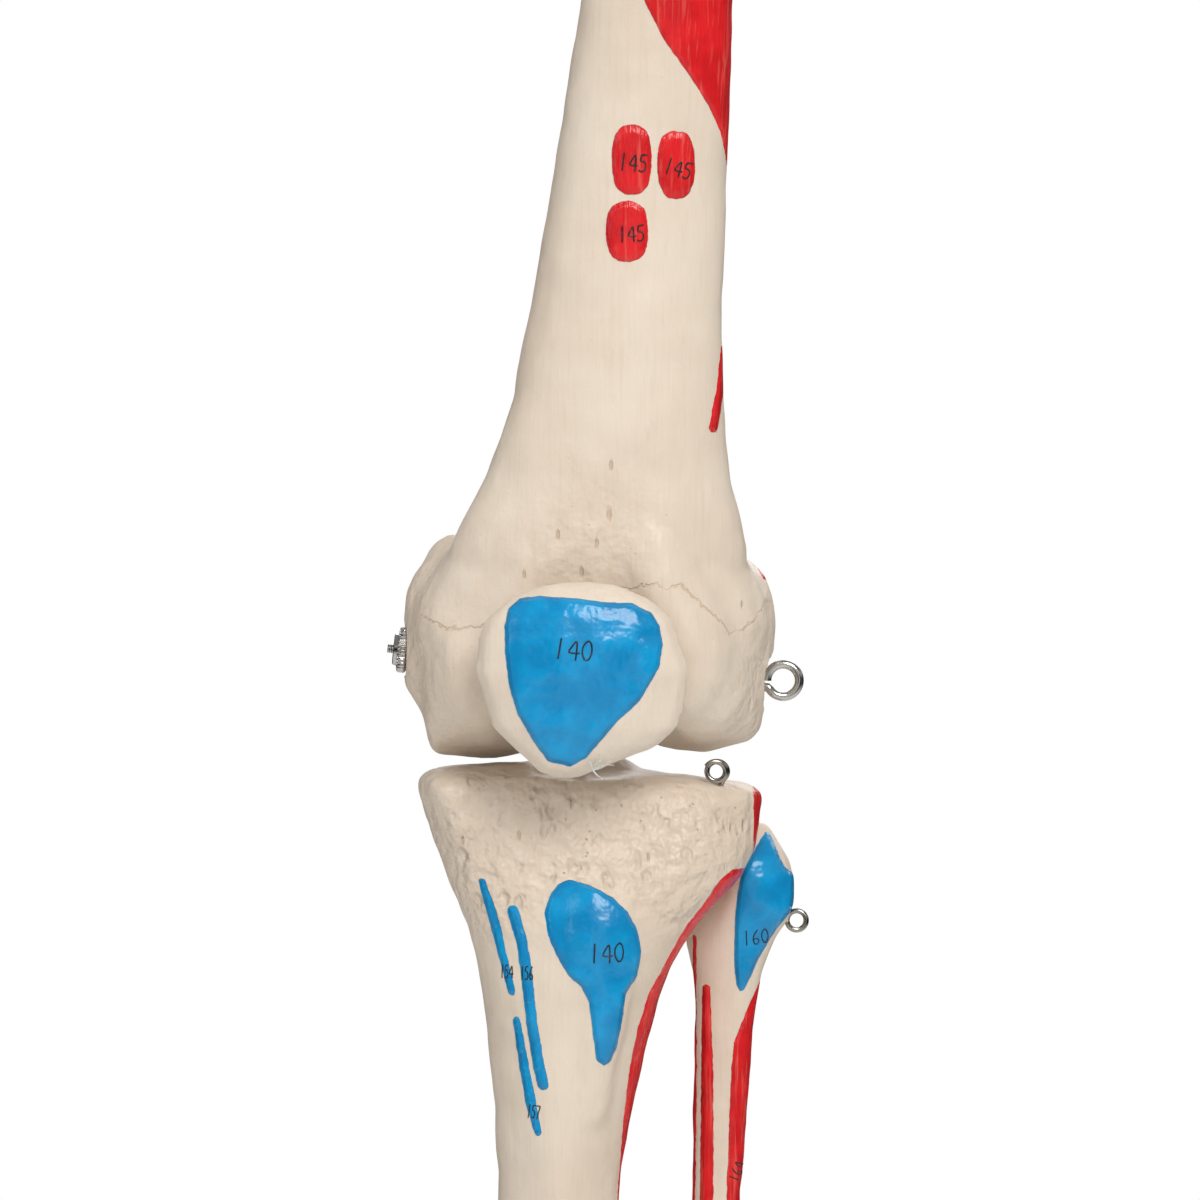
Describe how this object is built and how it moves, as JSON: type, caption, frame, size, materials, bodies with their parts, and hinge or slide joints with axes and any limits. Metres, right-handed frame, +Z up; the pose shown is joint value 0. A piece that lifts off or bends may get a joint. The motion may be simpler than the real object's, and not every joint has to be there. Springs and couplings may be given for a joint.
{
  "type": "anatomical leg skeleton model",
  "caption": "Left leg of a classroom skeleton, hip stud to toes: separate bones on a hinged knee and ankle, with steel axles, wires and nuts.",
  "frame": {"origin": "centre of the flat medial end of the hip stud", "axes": "+X lateral (the wearer's left), +Y to the back, +Z up; the leg hangs straight down with the foot pointing to -Y"},
  "size_m": [0.1247, 0.2615, 0.8812],
  "materials": {
    "bone_plastic": "satin cast plastic",
    "steel": "plated"
  },
  "bodies": {
    "thigh": {"femur": "bone_plastic", "patella": "bone_plastic", "patella_stud": "steel", "hip_stud": "steel", "hip_washer": "steel", "knee_spacer_medial": "steel", "knee_spacer_lateral": "steel"},
    "shank": {"tibia": "bone_plastic", "fibula": "bone_plastic", "knee_tongue": "steel", "tongue_pin_upper": "steel", "tongue_pin_lower": "steel", "tibiofibular_tie_wire": "steel", "tibiofibular_screw": "steel", "ankle_axle": "steel"},
    "foot": {"talus": "bone_plastic", "calcaneus": "bone_plastic", "navicular": "bone_plastic", "cuboid": "bone_plastic", "medial_cuneiform": "bone_plastic", "intermediate_cuneiform": "bone_plastic", "lateral_cuneiform": "bone_plastic", "metatarsal_1": "bone_plastic", "metatarsal_2": "bone_plastic", "metatarsal_3": "bone_plastic", "metatarsal_4": "bone_plastic", "metatarsal_5": "bone_plastic", "toe_1_proximal_phalanx": "bone_plastic", "toe_1_distal_phalanx": "bone_plastic", "toe_2_proximal_phalanx": "bone_plastic", "toe_2_middle_phalanx": "bone_plastic", "toe_2_distal_phalanx": "bone_plastic", "toe_3_proximal_phalanx": "bone_plastic", "toe_3_middle_phalanx": "bone_plastic", "toe_3_distal_phalanx": "bone_plastic", "toe_4_proximal_phalanx": "bone_plastic", "toe_4_middle_phalanx": "bone_plastic", "toe_4_distal_phalanx": "bone_plastic", "toe_5_proximal_phalanx": "bone_plastic", "toe_5_middle_phalanx": "bone_plastic", "toe_5_distal_phalanx": "bone_plastic", "ray_wire_1": "steel", "ray_wire_2": "steel", "ray_wire_3": "steel", "ray_wire_4": "steel", "ray_wire_5": "steel", "heel_screw": "steel", "talus_navicular_pin": "steel", "calcaneus_cuboid_pin": "steel", "midfoot_cross_wire": "steel"},
    "knee_axle_body": {"knee_axle": "steel"},
    "knee_nut_body": {"knee_nut": "steel"},
    "ankle_nut_body": {"ankle_nut": "steel"},
    "wing_nut_body": {"hip_wing_nut": "steel"}
  },
  "joints": [
    {"name": "knee_flexion", "type": "hinge", "parent": "thigh", "child": "shank", "pos_m": [0.066, 0.024, -0.40799], "axis": [0.9948, 0, -0.1018], "range_deg": [0, 110]},
    {"name": "ankle_flexion", "type": "hinge", "parent": "shank", "child": "foot", "pos_m": [0.0585, 0.025, -0.8], "axis": [1, 0, 0], "range_deg": [-12, 35]},
    {"name": "knee_axle_turn", "type": "hinge", "parent": "thigh", "child": "knee_axle_body", "pos_m": [0.066, 0.024, -0.40799], "axis": [0.9948, 0, -0.1018], "continuous": true},
    {"name": "knee_nut_turn", "type": "hinge", "parent": "knee_axle_body", "child": "knee_nut_body", "pos_m": [0.0231, 0.024, -0.4036], "axis": [0.9948, 0, -0.1018], "continuous": true},
    {"name": "ankle_nut_turn", "type": "hinge", "parent": "shank", "child": "ankle_nut_body", "pos_m": [0.0295, 0.025, -0.8], "axis": [1, 0, 0], "continuous": true},
    {"name": "wing_nut_turn", "type": "hinge", "parent": "thigh", "child": "wing_nut_body", "pos_m": [0.014, 0, 0], "axis": [1, 0, 0], "continuous": true}
  ]
}
